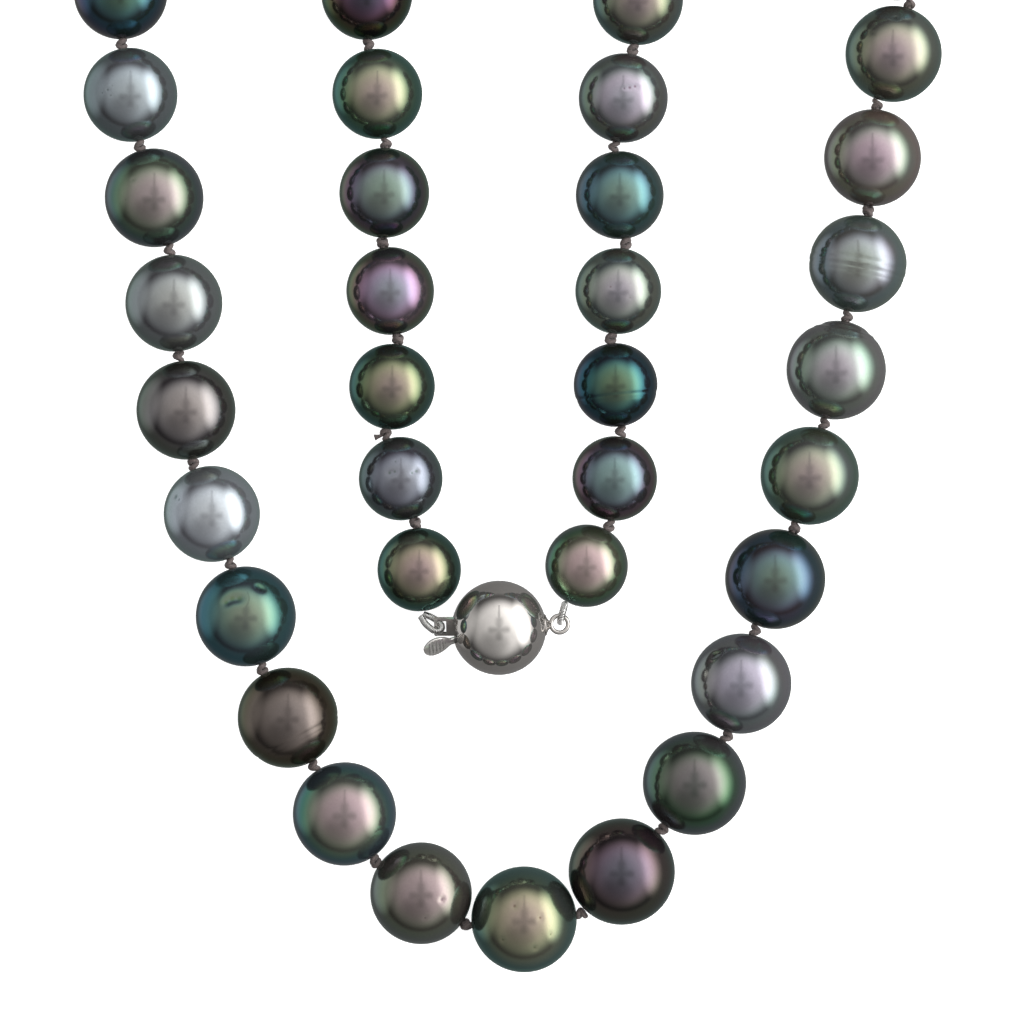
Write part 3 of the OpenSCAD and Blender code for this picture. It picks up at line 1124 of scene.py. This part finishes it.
def soft_stand():
    """A clear sheet with the stand's soft dark shape on it."""
    material = bpy.data.materials.new("soft_stand")
    material.use_nodes = True
    material.node_tree.nodes.clear()
    graph = Graph(material.node_tree)
    plan = graph.split(graph.position())
    shape = None
    for at, half, edge in STAND_PARTS:
        sides = []
        for axis in (0, 1):
            off = graph.maths("ABSOLUTE", graph.maths("SUBTRACT", plan[axis], at[axis]))
            sides.append(graph.remap(off, half[axis] + edge, max(half[axis] - edge, 0)))
        part = graph.maths("MULTIPLY", *sides)
        shape = part if shape is None else graph.maths("MAXIMUM", shape, part)
    clear = graph.add("ShaderNodeBsdfTransparent")
    dark = graph.add("ShaderNodeEmission")
    graph.feed(dark, {"Color": STAND_TONE})
    mix = graph.add("ShaderNodeMixShader")
    density = graph.maths("MULTIPLY", shape, STAND_DENSITY)
    graph.feed(mix, {"Fac": density, 1: clear.outputs["BSDF"], 2: dark.outputs["Emission"]})
    graph.feed(graph.add("ShaderNodeOutputMaterial"), {"Surface": mix.outputs["Shader"]})
    sheet = flat_square("soft_stand", STAND_SHEET_HALF, STAND_Z, material)
    sheet.visible_camera = False
    sheet.visible_shadow = False
    sheet.visible_diffuse = False


soft_stand()


def tent_world():
    """The tent as the world's light. The camera itself sees a plain pale backdrop."""
    world = bpy.data.worlds.new("tent")
    bpy.context.scene.world = world
    world.use_nodes = True
    graph = Graph(world.node_tree)
    direction = graph.add("ShaderNodeTexCoord").outputs["Generated"]

    def leaning(axis, limits, low=0.0, high=1.0, kind="SMOOTHSTEP"):
        """From low to high, as the direction's lean to the axis goes from limit to limit."""
        lean = graph.add("ShaderNodeVectorMath", operation="DOT_PRODUCT")
        graph.feed(lean, {0: direction, 1: axis})
        return graph.remap(lean.outputs["Value"], *limits, low, high, kind)

    across = leaning(TENT_TOWARDS, (-1, 1), kind="LINEAR")
    lit = graph.ramp(across, [(at, (v, v, v)) for at, v in TENT_STOPS])
    lit = graph.maths("MULTIPLY", lit, leaning(TENT_LEAN, TENT_HEIGHT, low=TENT_FOOT))
    lit = graph.maths("MULTIPLY", lit, leaning(SHADE_TOWARDS, SHADE_LIMITS, 1.0, SHADE))
    lit = graph.maths("ADD", lit, leaning(GLOW_TOWARDS, GLOW_LIMITS, high=GLOW))
    lit = graph.maths("ADD", lit, leaning(UP, TABLE_LIMITS, high=TABLE))
    panel = graph.maths("MULTIPLY", leaning(PANEL_TOWARDS, PANEL_SIDE), leaning(UP, PANEL_FOOT))
    panel = graph.maths("MULTIPLY", panel, leaning(UP, PANEL_TOP, high=PANEL))
    lit = graph.maths("ADD", lit, panel)
    seen = graph.add("ShaderNodeLightPath").outputs["Is Camera Ray"]
    backdrop = graph.mixed(seen, lit, (1, 1, 1, 1))
    graph.feed(world.node_tree.nodes["Background"], {"Color": backdrop, "Strength": TENT_LIGHT})


tent_world()


def side_lamp():
    """The panel's light on surfaces that aren't mirrors."""
    lamp = bpy.data.lights.new("side_panel", "AREA")
    lamp.shape = "RECTANGLE"
    lamp.size, lamp.size_y = LAMP_SIZE
    lamp.energy = LAMP_POWER
    panel = bpy.data.objects.new("side_panel", lamp)
    bpy.context.scene.collection.objects.link(panel)
    panel.location = LAMP_AT
    panel.rotation_mode = "QUATERNION"
    panel.rotation_quaternion = (-panel.location).to_track_quat("-Z", "Y")
    panel.visible_camera = False
    panel.visible_glossy = False


side_lamp()


# ---------------------------------------------------------------- camera

camera_data = bpy.data.cameras.new("camera")
camera_data.type = "PERSP"
camera_data.lens = LENS
camera_data.sensor_width = SENSOR
camera_data.clip_start = CLIP_START
camera_data.clip_end = CLIP_END
camera = bpy.data.objects.new("camera", camera_data)
bpy.context.scene.collection.objects.link(camera)
view_at = BALL_AT + VIEW_PAST_BALL
camera.location = (view_at.x, view_at.y, BALL_AT.z + VIEW_WIDTH * LENS / SENSOR)
bpy.context.scene.camera = camera
bpy.context.scene.view_settings.view_transform = "Standard"
